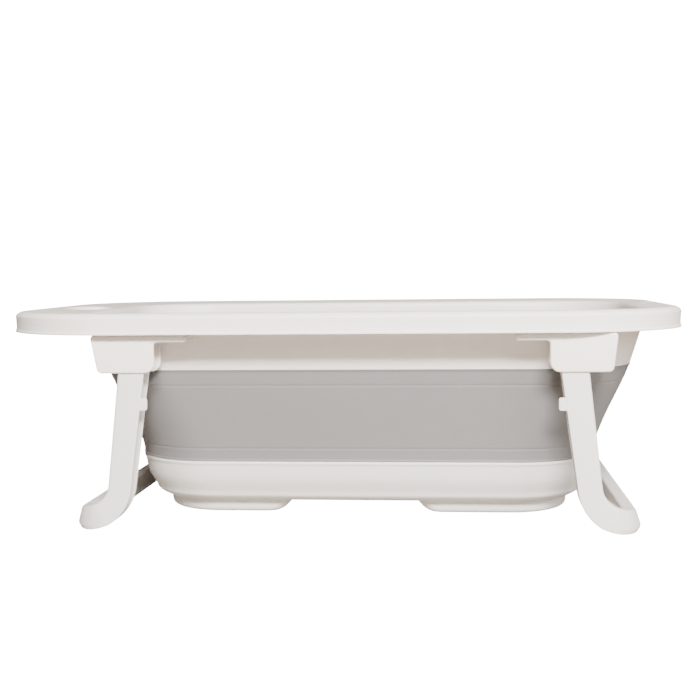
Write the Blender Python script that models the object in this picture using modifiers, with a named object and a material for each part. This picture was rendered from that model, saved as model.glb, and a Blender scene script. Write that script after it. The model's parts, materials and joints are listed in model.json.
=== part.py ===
"""Collapsible pet bath on two folding leg frames.

Units are metres and +Z is up. X runs along the tub and Y across it. The origin is on the floor
under the middle of the rim. The rim's deck is wider at the -X end, so the tub and the legs are
centred a little way along +X.
"""

import math

import bmesh
import bpy
from mathutils import Matrix, Vector

GAP = 0.0003

# Rim
RIM_LENGTH = 0.820
RIM_WIDTH = 0.502
RIM_CORNER = 0.150
RIM_TOP = 0.2565
SKIRT_BOTTOM = 0.2315
RIM_WALL_BOTTOM = 0.1868

# Tub, as half length, half width and corner radius of its outer face
TUB_X = 0.0259
MOUTH = (0.3442, 0.1990, 0.1050)
UPPER_JOINT = (0.3249, 0.1945, 0.1000)
LOWER_JOINT = (0.2824, 0.1840, 0.1000)
KNEE = (0.2695, 0.1720, 0.0900)
BEND = (0.2575, 0.1605, 0.0800)
FLAT = (0.2450, 0.1485, 0.0700)
# Heights of the soft wall's creases, with its size's share of the way from the lower joint's to the upper's
SOFT_LEVELS = ((0.1680, 0.83), (0.1250, 0.36), (0.0920, 0.06))
LOWER_JOINT_Z = 0.0764
FLOOR_UNDERSIDE = 0.0235
WALL = 0.0030
SOFT_WALL = 0.0025

# Raised pads under the tub, one on each side of a gap that takes the folded crossbars
PAD_GAP = (-0.0605, 0.0915)
PAD_INNER_CORNER = 0.0180
PAD_BOTTOM = 0.0085
PAD_OUTSIDE = (
    (0.0185, 0.0200, PAD_BOTTOM),
    (0.0115, 0.0135, PAD_BOTTOM + 0.0027),
    (0.0085, 0.0050, PAD_BOTTOM + 0.0080),
    (0.0070, 0.0000, FLOOR_UNDERSIDE + 0.0009),
)
PAD_INSIDE = (
    (0.0200, 0.0215, PAD_BOTTOM + WALL),
    (0.0142, 0.0160, PAD_BOTTOM + WALL + 0.0022),
    (0.0115, 0.0085, PAD_BOTTOM + WALL + 0.0070),
    (0.0098, 0.0040, FLOOR_UNDERSIDE + WALL + 0.0012),
)

# Leg frames, as distances from the legs' middle plane and from the tub's centre line
LEG_X = 0.0195
PIVOT_OUT = 0.2508
PIVOT_Z = 0.2070
LEG_FRONT = 0.2355
LEG_DEPTH = 0.0270
HEAD_WIDTH = 0.0315
ANKLE_WIDTH = 0.0272
LEG_HEAD = 0.0108
ANKLE_OUT = 0.2700
ANKLE_Z = 0.0640
FOOT_RADIUS = 0.0420
FOOT_CORNER = 0.0300
CROSSBAR_OUT = 0.3205
CROSSBAR_WIDTH = 0.0220
CROSSBAR_HEIGHT = 0.0252
FOOT_HEIGHT = 0.0290
STATION_SPACING = 0.0010
OUTER_SLOPE = 0.0065
LIP_TUCK = 0.0040
LIP_TUCK_HEIGHT = 0.0055
CHANNEL_WALL = 0.0030
CHANNEL_EDGE = 0.0025
RUBBER = 0.0016
TAB_OUT = (0.2347, 0.2455)
TAB_Z = (0.1438, 0.1584)
TAB_CORNER = 0.0020
FOOT_PAD_Y = (0.100, 0.165)
FOOT_PAD_REACH = (-0.010, 0.007)

# Sockets that carry the legs
SOCKET_FRONT = 0.2390
SOCKET_BACK = 0.2045
SOCKET_PLATE = 0.0030
SOCKET_BOTTOM = 0.1870
SOCKET_TOP = SKIRT_BOTTOM - GAP
SOCKET_INNER = 0.2248
SOCKET_OUTER_BOTTOM = {-1: 0.2915, 1: 0.2945}
SOCKET_OUTER_TOP = 0.3005
FLANGE_TIP = 0.1868
FLANGE_DEPTH = 0.0088
SNAP_SLOT_OUT = 0.2050
SNAP_SLOT_Y = (0.2316, 0.2364)
SNAP_SLOT_DEPTH = 0.0052
PIN_RADIUS = 0.0030
FLANGE_SCREW_OUT = 0.2060
HOUSING_SCREW_OUT = 0.2830
SCREW_Y = 0.2220
SCREW_RADIUS = 0.00175
SCREW_LENGTH = 0.0120
BOSS_RADIUS = 0.0045
FLANGE_SEAT = 0.0050
HOUSING_SEAT = 0.0047
HEAD_HOLE = 0.0041

# Drain
DRAIN_OUT = 0.1550
DRAIN_RADIUS = 0.0180

# Soap dish and shower rest in the rim's ends
DISH_X = -0.3570
DISH_HALF = (0.0290, 0.0500)
DISH_FLOOR = 0.2480
REST_Y = 0.0150

WHITE_PP = ((0.84, 0.81, 0.78, 1.0), 0.38, 0.0)
LEG_PP = ((0.80, 0.78, 0.75, 1.0), 0.42, 0.0)
GREY_TPE = ((0.47, 0.44, 0.43, 1.0), 0.62, 0.0)
RUBBER_FINISH = ((0.50, 0.49, 0.48, 1.0), 0.80, 0.0)
STEEL = ((0.62, 0.62, 0.63, 1.0), 0.30, 1.0)


def clear_scene():
    for obj in list(bpy.data.objects):
        bpy.data.objects.remove(obj, do_unlink=True)


def new_collection(name):
    collection = bpy.data.collections.new(name)
    bpy.context.scene.collection.children.link(collection)
    return collection


def new_material(name, finish):
    colour, roughness, metallic = finish
    material = bpy.data.materials.new(name)
    material.use_nodes = True
    shader = material.node_tree.nodes["Principled BSDF"]
    shader.inputs["Base Color"].default_value = colour
    shader.inputs["Roughness"].default_value = roughness
    shader.inputs["Metallic"].default_value = metallic
    return material


def object_from(mesh_tools, name, collection, finish=None, smooth=35.0):
    """Turns a bmesh into a named object with its faces pointing out."""
    bmesh.ops.recalc_face_normals(mesh_tools, faces=mesh_tools.faces)
    mesh = bpy.data.meshes.new(name)
    mesh_tools.to_mesh(mesh)
    mesh_tools.free()
    mesh.shade_smooth()
    mesh.set_sharp_from_angle(angle=math.radians(smooth))
    obj = bpy.data.objects.new(name, mesh)
    collection.objects.link(obj)
    if finish:
        mesh.materials.append(new_material(name, finish))
    return obj


def rounded_outline(low_x, high_x, half_y, low_radius, high_radius, steps=9):
    """Points of a rounded rectangle, counter-clockwise from its (-X, -Y) corner."""
    corners = (
        (low_x + low_radius, low_radius - half_y, low_radius, 180),
        (high_x - high_radius, high_radius - half_y, high_radius, 270),
        (high_x - high_radius, half_y - high_radius, high_radius, 0),
        (low_x + low_radius, half_y - low_radius, low_radius, 90),
    )
    points = []
    for x, y, radius, start in corners:
        for step in range(steps + 1):
            angle = math.radians(start + 90.0 * step / steps)
            points.append((x + radius * math.cos(angle), y + radius * math.sin(angle)))
    return points


def ring(half_x, half_y, radius, z, centre_x=0.0):
    outline = rounded_outline(centre_x - half_x, centre_x + half_x, half_y, radius, radius)
    return [(x, y, z) for x, y in outline]


def rim_ring(inset, z):
    return ring(RIM_LENGTH / 2 - inset, RIM_WIDTH / 2 - inset, RIM_CORNER - inset, z)


def tub_ring(size, inset, z):
    half_x, half_y, radius = size
    return ring(half_x - inset, half_y - inset, radius - inset, z, TUB_X)


def between(low, high, share):
    """Tub size part of the way from one joint's size to another's."""
    return tuple(a + (b - a) * share for a, b in zip(low, high))


def loft(rings, closed):
    """Skins rings of equal count. A closed loft joins its last ring to its first, an open one is capped."""
    tools = bmesh.new()
    made = [[tools.verts.new(point) for point in points] for points in rings]
    count = len(made[0])
    pairs = list(zip(made, made[1:]))
    if closed:
        pairs.append((made[-1], made[0]))
    else:
        tools.faces.new(made[0])
        tools.faces.new(made[-1])
    for lower, upper in pairs:
        for i in range(count):
            j = (i + 1) % count
            tools.faces.new((lower[i], lower[j], upper[j], upper[i]))
    return tools


def cylinder(name, collection, centre, radius, length, axis="Z", finish=None, segments=20):
    tools = bmesh.new()
    bmesh.ops.create_cone(
        tools,
        cap_ends=True,
        segments=segments,
        radius1=radius,
        radius2=radius,
        depth=length,
    )
    obj = object_from(tools, name, collection, finish)
    if axis == "Y":
        obj.rotation_euler.x = math.radians(90)
    obj.location = centre
    return obj


def turned(name, collection, profile, location, finish, steps=24):
    """A profile of (radius, z), listed down its outer side, turned about Z."""
    mesh = bpy.data.meshes.new(name)
    count = len(profile)
    on_axis = profile[0][0] == 0
    edges = [(i, i + 1) for i in range(count - 1)]
    if not on_axis:
        edges.append((count - 1, 0))
    mesh.from_pydata([(radius, 0.0, z) for radius, z in profile], edges, [])
    obj = bpy.data.objects.new(name, mesh)
    collection.objects.link(obj)
    screw = obj.modifiers.new("turn", "SCREW")
    screw.steps = steps
    screw.render_steps = steps
    screw.use_merge_vertices = True
    screw.merge_threshold = 0.00001
    screw.use_smooth_shade = True
    obj.location = location
    if finish:
        mesh.materials.append(new_material(name, finish))
    return obj


def boolean(obj, other, operation):
    modifier = obj.modifiers.new(other.name, "BOOLEAN")
    modifier.operation = operation
    modifier.object = other
    modifier.solver = "EXACT"


def hide(obj):
    obj.hide_render = True
    obj.display_type = "WIRE"


def cut(obj, cutter):
    boolean(obj, cutter, "DIFFERENCE")
    hide(cutter)


def add(obj, shape):
    boolean(obj, shape, "UNION")
    hide(shape)


def prism(name, collection, outline, low, high, axis, finish=None):
    """Extrudes an outline. On axis Y its points are (x, z), on axis Z they are (x, y)."""
    if axis == "Y":
        rings = [[(x, level, z) for x, z in outline] for level in (low, high)]
    else:
        rings = [[(x, y, level) for x, y in outline] for level in (low, high)]
    return object_from(loft(rings, closed=False), name, collection, finish)


def rim_rings():
    """The rim's section: round the skirt, over the deck, down the tub's upper wall and back underneath."""
    top = RIM_TOP
    bottom = SKIRT_BOTTOM
    wall_top = 0.2470
    outside = [
        rim_ring(0.0000, bottom),
        rim_ring(0.0000, bottom + 0.0022),
        rim_ring(0.0018, bottom + 0.0040),
        rim_ring(0.0022, top - 0.0085),
        rim_ring(0.0045, top - 0.0033),
        rim_ring(0.0090, top - 0.0004),
        rim_ring(0.0130, top),
        rim_ring(0.0220, top - 0.0010),
        tub_ring(MOUTH, -0.0060, top - 0.0030),
        tub_ring(MOUTH, -0.0005, top - 0.0048),
        tub_ring(MOUTH, WALL, wall_top),
        tub_ring(UPPER_JOINT, WALL, RIM_WALL_BOTTOM),
    ]
    underneath = [
        tub_ring(UPPER_JOINT, 0.0000, RIM_WALL_BOTTOM),
        tub_ring(MOUTH, 0.0000, wall_top - 0.0005),
        tub_ring(MOUTH, -0.0035, top - 0.0078),
        tub_ring(MOUTH, -0.0090, top - 0.0062),
        rim_ring(0.0220, top - 0.0042),
        rim_ring(0.0110, top - 0.0034),
        rim_ring(0.0075, top - 0.0055),
        rim_ring(0.0052, top - 0.0095),
        rim_ring(0.0048, bottom + 0.0036),
        rim_ring(0.0036, bottom),
    ]
    return outside + underneath


def oval(centre_x, half_x, half_y, steps=28):
    return [
        (
            centre_x + half_x * math.cos(2 * math.pi * step / steps),
            half_y * math.sin(2 * math.pi * step / steps),
        )
        for step in range(steps)
    ]


def screw_places():
    """(name, x, y, is in the flange) of each socket screw."""
    for side, side_name in ((-1, "left"), (1, "right")):
        for face, face_name in ((-1, "front"), (1, "rear")):
            for out, spot in ((FLANGE_SCREW_OUT, "flange"), (HOUSING_SCREW_OUT, "housing")):
                name = f"{side_name}_{face_name}_{spot}"
                yield name, LEG_X + side * out, face * SCREW_Y, spot == "flange"


def make_rim(parts, cutters):
    rim = object_from(loft(rim_rings(), closed=True), "rim_frame", parts, WHITE_PP)
    half_x, half_y = DISH_HALF
    shell = oval(DISH_X, half_x + WALL, half_y + WALL)
    add(rim, prism("dish_shell", cutters, shell, DISH_FLOOR - WALL, RIM_TOP - 0.0030, "Z"))
    pocket_rings = [
        [(x, y, DISH_FLOOR) for x, y in oval(DISH_X, half_x - 0.002, half_y - 0.002)],
        [(x, y, RIM_TOP + 0.002) for x, y in oval(DISH_X, half_x + 0.001, half_y + 0.001)],
    ]
    cut(rim, object_from(loft(pocket_rings, closed=False), "dish_pocket", cutters))
    rest_end = RIM_LENGTH / 2
    seat = [
        (rest_end - 0.0300, REST_Y - 0.0160),
        (rest_end - 0.0045, REST_Y - 0.0160),
        (rest_end - 0.0045, REST_Y + 0.0160),
        (rest_end - 0.0300, REST_Y + 0.0160),
    ]
    add(rim, prism("rest_seat", cutters, seat, RIM_TOP - 0.0085, RIM_TOP - 0.0028, "Z"))
    groove = cylinder(
        "rest_groove", cutters, (rest_end, REST_Y, RIM_TOP + 0.0160), 0.0195, 0.1, segments=48
    )
    groove.rotation_euler.y = math.radians(90)
    cut(rim, groove)
    boss_bottom = SKIRT_BOTTOM
    boss_top = RIM_TOP - 0.0025
    for name, x, y, _ in screw_places():
        middle = (x, y, (boss_bottom + boss_top) / 2)
        height = boss_top - boss_bottom
        add(rim, cylinder(f"boss_{name}", cutters, middle, BOSS_RADIUS, height, segments=16))
    for name, x, y, _ in screw_places():
        pilot_length = SCREW_LENGTH * 2
        pilot = (x, y, SKIRT_BOTTOM)
        cut(rim, cylinder(f"pilot_{name}", cutters, pilot, SCREW_RADIUS + GAP, pilot_length, segments=12))
    return rim


def make_soft_wall(parts):
    top = RIM_WALL_BOTTOM - GAP
    bottom = LOWER_JOINT_Z + GAP
    levels = [(UPPER_JOINT, top)]
    levels += [(between(LOWER_JOINT, UPPER_JOINT, share), z) for z, share in SOFT_LEVELS]
    levels.append((LOWER_JOINT, bottom))
    outside = [tub_ring(size, 0.0, z) for size, z in levels]
    inside = [tub_ring(size, SOFT_WALL, z) for size, z in reversed(levels)]
    return object_from(loft(outside + inside, closed=True), "soft_wall", parts, GREY_TPE)


def base_rings():
    """From the underside out and up to the joint, then down the inside to the floor."""
    floor = FLOOR_UNDERSIDE
    belly = between(BEND, KNEE, 0.72)
    top = LOWER_JOINT_Z
    return [
        tub_ring(FLAT, 0.0, floor),
        tub_ring(BEND, 0.0, floor + 0.0025),
        tub_ring(belly, 0.0, floor + 0.0080),
        tub_ring(KNEE, 0.0, floor + 0.0150),
        tub_ring(LOWER_JOINT, 0.0008, top - 0.0045),
        tub_ring(LOWER_JOINT, -0.0004, top - 0.0030),
        tub_ring(LOWER_JOINT, -0.0004, top),
        tub_ring(LOWER_JOINT, WALL, top),
        tub_ring(LOWER_JOINT, 0.0008 + WALL, top - 0.0045),
        tub_ring(KNEE, WALL, floor + 0.0165),
        tub_ring(belly, WALL, floor + 0.0105),
        tub_ring(BEND, WALL, floor + 0.0052),
        tub_ring(FLAT, WALL, floor + WALL),
    ]


def pad_ring(side, inset, inner_inset, z):
    """One level of a raised pad, which follows the base's outline except at its inner end."""
    half_x, half_y, radius = BEND
    inner = PAD_GAP[side > 0] + side * inner_inset
    outer = TUB_X + side * (half_x - inset)
    inner_radius = PAD_INNER_CORNER - inner_inset / 2
    outer_radius = radius - inset
    if side < 0:
        outline = rounded_outline(outer, inner, half_y - inset, outer_radius, inner_radius, steps=7)
    else:
        outline = rounded_outline(inner, outer, half_y - inset, inner_radius, outer_radius, steps=7)
    return [(x, y, z) for x, y in outline]


def make_base(parts, cutters):
    base = object_from(loft(base_rings(), closed=False), "base_shell", parts, WHITE_PP)
    for side, name in ((-1, "left"), (1, "right")):
        outer = [pad_ring(side, *level) for level in PAD_OUTSIDE]
        inner = [pad_ring(side, *level) for level in PAD_INSIDE]
        add(base, object_from(loft(outer, closed=False), f"{name}_pad", cutters))
        cut(base, object_from(loft(inner, closed=False), f"{name}_pad_inside", cutters))
    hole = (LEG_X - DRAIN_OUT, 0.0, PAD_BOTTOM)
    cut(base, cylinder("drain_hole", cutters, hole, DRAIN_RADIUS + GAP, 0.02, segments=32))
    return base


def make_drain(parts):
    floor = PAD_BOTTOM + WALL + GAP
    under = PAD_BOTTOM - GAP
    place = (LEG_X - DRAIN_OUT, 0.0, 0.0)
    bore = DRAIN_RADIUS - 0.0030
    seat = [
        (0.0240, floor + 0.0012),
        (0.0240, floor),
        (DRAIN_RADIUS, floor),
        (DRAIN_RADIUS, under - 0.0055),
        (bore, under - 0.0055),
        (bore, floor + 0.0020),
        (0.0225, floor + 0.0020),
    ]
    turned("drain_seat", parts, seat, place, WHITE_PP, steps=32)
    nut = [
        (0.0235, under - 0.0005),
        (0.0235, under - 0.0045),
        (DRAIN_RADIUS + GAP, under - 0.0045),
        (DRAIN_RADIUS + GAP, under),
        (0.0230, under),
    ]
    turned("drain_nut", parts, nut, place, WHITE_PP, steps=32)
    top = floor + 0.0020 + GAP
    plug = [
        (0.0, top + 0.0090),
        (0.0030, top + 0.0085),
        (0.0036, top + 0.0060),
        (0.0030, top + 0.0030),
        (0.0160, top + 0.0022),
        (0.0170, top + 0.0010),
        (0.0168, top),
        (bore - 0.0004, top),
        (bore - 0.0010, under - 0.0045),
        (0.0, under - 0.0045),
    ]
    return turned("drain_plug", parts, plug, place, GREY_TPE, steps=32)


def arc(centre, start, end, radius, steps):
    """Points on an arc in a plane, with angles in degrees."""
    points = []
    for step in range(steps + 1):
        angle = math.radians(start + (end - start) * step / steps)
        points.append((centre[0] + radius * math.cos(angle), centre[1] + radius * math.sin(angle)))
    return points


def leg_direction():
    """The way the leg points, from its pivot down to its ankle."""
    return Vector((ANKLE_OUT - PIVOT_OUT, 0.0, ANKLE_Z - PIVOT_Z)).normalized()


def bend_centre():
    """Centre, as (out, z), of the bend that turns the leg outwards into its foot."""
    foot_z = RUBBER + GAP + FOOT_HEIGHT / 2
    return ANKLE_OUT - FOOT_RADIUS * leg_direction().z, foot_z + FOOT_RADIUS


def bend_height(out):
    """Height of the bend's middle line at a distance out."""
    centre_out, centre_z = bend_centre()
    behind = max(0.0, centre_out - out)
    return centre_z - math.sqrt(FOOT_RADIUS**2 - behind**2)


def leg_places():
    """The channel's middle line as places, each with its share of the turn along the crossbar.

    The leg runs straight to the ankle and bends outwards. It turns along the crossbar while it bends.
    """
    mid_y = LEG_FRONT - LEG_DEPTH / 2
    down = leg_direction()
    places = [(Vector((PIVOT_OUT, mid_y, PIVOT_Z)) - down * LEG_HEAD, 0.0)]
    lean = math.degrees(math.atan2(down.x, -down.z))
    corner_out = CROSSBAR_OUT - FOOT_CORNER
    for out, z in arc(bend_centre(), 180 + lean, 270, FOOT_RADIUS, 7):
        if out < corner_out - STATION_SPACING:
            places.append((Vector((out, mid_y, z)), 0.0))
    corner_centre = (corner_out, mid_y - FOOT_CORNER)
    steps = 8
    for step, (out, across) in enumerate(arc(corner_centre, 90, 0, FOOT_CORNER, steps)):
        places.append((Vector((out, across, bend_height(out))), step / steps))
    return places


def leg_path():
    """Stations along the channel: place, direction, width, height and share of the turn."""
    places = leg_places()
    count = len(places)
    stations = []
    for i, (place, share) in enumerate(places):
        heading = (places[min(i + 1, count - 1)][0] - places[max(i - 1, 0)][0]).normalized()
        if i == 0:
            heading = (places[1][0] - place).normalized()
        if i == count - 1:
            heading = Vector((0.0, -1.0, 0.0))
        height = ANKLE_WIDTH + (FOOT_HEIGHT - ANKLE_WIDTH) * heading.xy.length
        height += (CROSSBAR_HEIGHT - FOOT_HEIGHT) * share
        if i == 0:
            height = HEAD_WIDTH
        width = LEG_DEPTH + (CROSSBAR_WIDTH - LEG_DEPTH) * share
        middle = place + Vector((0.0, 0.0, (CROSSBAR_HEIGHT - FOOT_HEIGHT) / 2 * share))
        stations.append((middle, heading, width, height, share))
    return stations


def channel_section(width, height, share):
    """A channel open on its -height side, as (across, up) points with chamfered outer corners.

    Towards the crossbar its outer face leans in at the top, and its outer lip is tucked in below.
    """
    half = width / 2
    top = height / 2
    slope = OUTER_SLOPE * share
    tuck = LIP_TUCK * share
    tuck_z = LIP_TUCK_HEIGHT - top
    wall = CHANNEL_WALL
    edge = CHANNEL_EDGE
    return [
        (tuck - half, -top),
        (-half, tuck_z),
        (slope - half, top - edge),
        (slope + edge - half, top),
        (half - edge, top),
        (half, top - edge),
        (half, -top),
        (half - wall, -top),
        (half - wall, top - wall),
        (slope + wall - half, top - wall),
        (wall - half, tuck_z),
        (wall + tuck - half, -top),
    ]


def leg_rings(side):
    """Rings of the whole U-shaped frame: down one leg, along the crossbar and up the other."""
    rings = []
    for place, heading, width, height, share in leg_path():
        level = Vector((heading.x, heading.y, 0.0)).normalized()
        up = level * -heading.z + Vector((0.0, 0.0, heading.xy.length))
        across = heading.cross(up)
        section = channel_section(width, height, share)
        points = [place + across * a + up * u for a, u in section]
        rings.append([Vector((LEG_X + side * p.x, p.y, p.z)) for p in points])
    mirrored = [[Vector((p.x, -p.y, p.z)) for p in points] for points in reversed(rings)]
    return rings + mirrored


def make_leg_frame(side, name, parts, cutters):
    axis = bpy.data.objects.new(f"{name}_leg_axis", None)
    parts.objects.link(axis)
    axis.location = (LEG_X + side * PIVOT_OUT, 0.0, PIVOT_Z)
    frame = object_from(loft(leg_rings(side), closed=False), f"{name}_leg_frame", parts, LEG_PP)
    for face, face_name in ((-1, "front"), (1, "rear")):
        add(frame, make_tab(side, face, f"{name}_{face_name}_tab", cutters))
        middle = (LEG_X + side * PIVOT_OUT, face * (LEG_FRONT - LEG_DEPTH / 2), PIVOT_Z)
        bore_name = f"{name}_{face_name}_bore"
        bore_length = LEG_DEPTH * 1.5
        cut(frame, cylinder(bore_name, cutters, middle, PIN_RADIUS + GAP, bore_length, "Y", segments=16))
        attach(make_foot_pad(side, face, f"{name}_{face_name}_foot_pad", parts), axis)
    attach(frame, axis)
    return frame


def make_tab(side, face, name, cutters):
    """A short tab on the inner edge of the leg's outer plate."""
    reach = [
        (TAB_OUT[0], TAB_Z[0], TAB_CORNER),
        (TAB_OUT[1], TAB_Z[0], 0.0),
        (TAB_OUT[1], TAB_Z[1], 0.0),
        (TAB_OUT[0], TAB_Z[1], TAB_CORNER),
    ]
    outline = [(LEG_X + side * out, z) for out, z in rounded_polygon(reach, steps=3)]
    ends = sorted((face * (LEG_FRONT - GAP), face * (LEG_FRONT - CHANNEL_WALL + GAP)))
    return prism(name, cutters, outline, *ends, "Y")


def make_foot_pad(side, face, name, parts):
    inner, outer = sorted(LEG_X + side * (CROSSBAR_OUT + reach) for reach in FOOT_PAD_REACH)
    low, high = sorted(face * y for y in FOOT_PAD_Y)
    outline = [(inner, low), (outer, low), (outer, high), (inner, high)]
    return prism(name, parts, outline, 0.0, RUBBER, "Z", RUBBER_FINISH)


def attach(obj, parent):
    """Parents an object and keeps it where it is."""
    obj.parent = parent
    obj.matrix_parent_inverse.identity()
    obj.location = obj.location - parent.location


def rounded_polygon(corners, steps=4):
    """Points of a polygon whose (x, z, radius) corners are rounded by arcs. A radius of 0 stays sharp."""
    points = []
    count = len(corners)
    for i, (x, z, radius) in enumerate(corners):
        corner = Vector((x, z))
        if radius == 0:
            points.append((x, z))
            continue
        to_last = (Vector(corners[i - 1][:2]) - corner).normalized()
        to_next = (Vector(corners[(i + 1) % count][:2]) - corner).normalized()
        half_angle = to_last.angle(to_next) / 2
        start = corner + to_last * (radius / math.tan(half_angle))
        end = corner + to_next * (radius / math.tan(half_angle))
        centre = corner + (to_last + to_next).normalized() * (radius / math.sin(half_angle))
        sweep = (start - centre).angle_signed(end - centre)
        for step in range(steps + 1):
            spoke = start - centre
            spoke.rotate(Matrix.Rotation(-sweep * step / steps, 2))
            points.append(tuple(centre + spoke))
    return points


def socket_outline(side):
    """The socket as seen from the front: housing, and a flange that reaches inwards at the top."""
    flange_bottom = SOCKET_TOP - FLANGE_DEPTH
    corners = [
        (FLANGE_TIP, flange_bottom, 0.0030),
        (SOCKET_INNER, flange_bottom, 0.0040),
        (SOCKET_INNER, SOCKET_BOTTOM, 0.0115),
        (SOCKET_OUTER_BOTTOM[side], SOCKET_BOTTOM, 0.0060),
        (SOCKET_OUTER_TOP, SOCKET_TOP, 0.0035),
        (FLANGE_TIP, SOCKET_TOP, 0.0035),
    ]
    return [(LEG_X + side * out, z) for out, z in rounded_polygon(corners)]


def socket_cavity(side):
    """The space for the leg's head, open at the bottom and towards the tub's middle."""
    out_and_z = (
        (0.2150, SOCKET_BOTTOM - 0.005),
        (0.2878, SOCKET_BOTTOM - 0.005),
        (0.2960, SOCKET_TOP - HOUSING_SEAT),
        (0.2280, SOCKET_TOP - HOUSING_SEAT),
        (0.2225, SOCKET_TOP - 0.0097),
        (0.2150, SOCKET_TOP - 0.0097),
    )
    return [(LEG_X + side * out, z) for out, z in out_and_z]


def make_snap_slot(side, face, name, cutters):
    """The slot under the flange's tip that takes the folded leg's tab."""
    ends = sorted((LEG_X + side * SNAP_SLOT_OUT, LEG_X + side * (FLANGE_TIP - 0.005)))
    low, high = sorted(face * y for y in SNAP_SLOT_Y)
    outline = [(ends[0], low), (ends[1], low), (ends[1], high), (ends[0], high)]
    bottom = SOCKET_TOP - FLANGE_DEPTH
    return prism(name, cutters, outline, bottom - 0.002, bottom + SNAP_SLOT_DEPTH, "Z")


def make_socket(side, face, name, parts, cutters):
    low, high = sorted((face * SOCKET_FRONT, face * SOCKET_BACK))
    socket = prism(f"{name}_leg_socket", parts, socket_outline(side), low, high, "Y", WHITE_PP)
    low, high = low + SOCKET_PLATE, high - SOCKET_PLATE
    cut(socket, prism(f"{name}_cavity", cutters, socket_cavity(side), low, high, "Y"))
    pocket_depth = 0.0018
    ends = (face * (SOCKET_FRONT - SOCKET_PLATE + pocket_depth), face * (SOCKET_BACK - 0.005))
    middle = (LEG_X + side * PIVOT_OUT, sum(ends) / 2, PIVOT_Z)
    length = abs(ends[0] - ends[1])
    hole = cylinder(f"{name}_pin_hole", cutters, middle, PIN_RADIUS + GAP, length, "Y", segments=16)
    cut(socket, hole)
    cut(socket, make_snap_slot(side, face, f"{name}_snap_slot", cutters))
    for out, counterbore in ((FLANGE_SCREW_OUT, True), (HOUSING_SCREW_OUT, False)):
        at = (LEG_X + side * out, face * SCREW_Y, SOCKET_TOP)
        shank = cylinder(f"{name}_shank_{out}", cutters, at, SCREW_RADIUS + GAP, 0.03, segments=12)
        cut(socket, shank)
        if counterbore:
            at = (at[0], at[1], SOCKET_TOP - FLANGE_DEPTH)
            depth = 2 * (FLANGE_DEPTH - FLANGE_SEAT)
            cut(socket, cylinder(f"{name}_head_{out}", cutters, at, HEAD_HOLE, depth, segments=16))
    return socket


def make_pin(side, face, name, parts):
    head = 0.0017
    tip = SOCKET_FRONT - SOCKET_PLATE + 0.0015
    profile = [
        (0.0, 0.0),
        (0.0048, 0.0),
        (0.0048, -head),
        (PIN_RADIUS, -head),
        (PIN_RADIUS, SOCKET_BACK - GAP - tip - head),
        (0.0, SOCKET_BACK - GAP - tip - head),
    ]
    place = (LEG_X + side * PIVOT_OUT, face * (SOCKET_BACK - GAP - head), PIVOT_Z)
    pin = turned(f"{name}_pivot_pin", parts, profile, place, STEEL, steps=16)
    pin.rotation_euler.x = math.radians(90 * face)
    return pin


def make_screws(parts):
    for name, x, y, in_flange in screw_places():
        seat = SOCKET_TOP - (FLANGE_SEAT if in_flange else HOUSING_SEAT) - GAP
        head = 0.0019
        profile = [
            (0.0, seat + SCREW_LENGTH),
            (SCREW_RADIUS, seat + SCREW_LENGTH - 0.001),
            (SCREW_RADIUS, seat),
            (0.0035, seat),
            (0.0035, seat - head + 0.0005),
            (0.0028, seat - head),
            (0.0, seat - head),
        ]
        turned(f"{name}_screw", parts, profile, (x, y, 0.0), STEEL, steps=12)


def main():
    clear_scene()
    parts = new_collection("pet_bath")
    cutters = new_collection("cutters")
    make_rim(parts, cutters)
    make_soft_wall(parts)
    make_base(parts, cutters)
    make_drain(parts)
    for side, side_name in ((-1, "left"), (1, "right")):
        make_leg_frame(side, side_name, parts, cutters)
        for face, face_name in ((-1, "front"), (1, "rear")):
            name = f"{side_name}_{face_name}"
            make_socket(side, face, name, parts, cutters)
            make_pin(side, face, name, parts)
    make_screws(parts)


main()
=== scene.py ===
import json
import math

import bmesh
import bpy
from mathutils import Matrix, Vector


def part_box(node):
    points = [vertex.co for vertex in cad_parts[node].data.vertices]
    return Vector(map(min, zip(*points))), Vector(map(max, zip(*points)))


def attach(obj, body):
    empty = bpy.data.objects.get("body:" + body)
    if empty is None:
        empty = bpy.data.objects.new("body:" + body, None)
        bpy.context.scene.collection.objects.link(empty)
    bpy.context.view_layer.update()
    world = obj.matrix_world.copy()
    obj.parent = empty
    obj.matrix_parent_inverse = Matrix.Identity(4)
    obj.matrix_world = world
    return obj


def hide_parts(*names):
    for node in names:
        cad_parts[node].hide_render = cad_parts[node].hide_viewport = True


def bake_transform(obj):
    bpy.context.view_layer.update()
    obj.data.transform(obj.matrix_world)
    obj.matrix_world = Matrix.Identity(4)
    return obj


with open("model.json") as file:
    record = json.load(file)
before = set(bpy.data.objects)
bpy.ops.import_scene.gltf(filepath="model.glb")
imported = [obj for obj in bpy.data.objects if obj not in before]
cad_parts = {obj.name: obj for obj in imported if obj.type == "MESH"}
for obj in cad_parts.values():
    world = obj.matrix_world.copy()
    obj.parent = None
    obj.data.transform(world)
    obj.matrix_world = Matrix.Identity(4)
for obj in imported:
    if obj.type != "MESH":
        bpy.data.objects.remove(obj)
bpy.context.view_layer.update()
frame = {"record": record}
mounts = {mount["name"]: mount["pos_m"] for mount in frame["record"]["mounts"]}

# Camera, where the photograph was taken from: turns in degrees, lens and sensor in millimetres
CAMERA_AT = (0.1434, -1.5451, 0.3068)
CAMERA_YAW = 5.352
CAMERA_PITCH = 4.086
CAMERA_ROLL = -0.646
LENS = 60.0069
SENSOR = 36.0

SIDES = ((-1, "left"), (1, "right"))
FACES = ((-1, "front"), (1, "rear"))
SCREW_SPOTS = ("flange", "housing")

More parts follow.
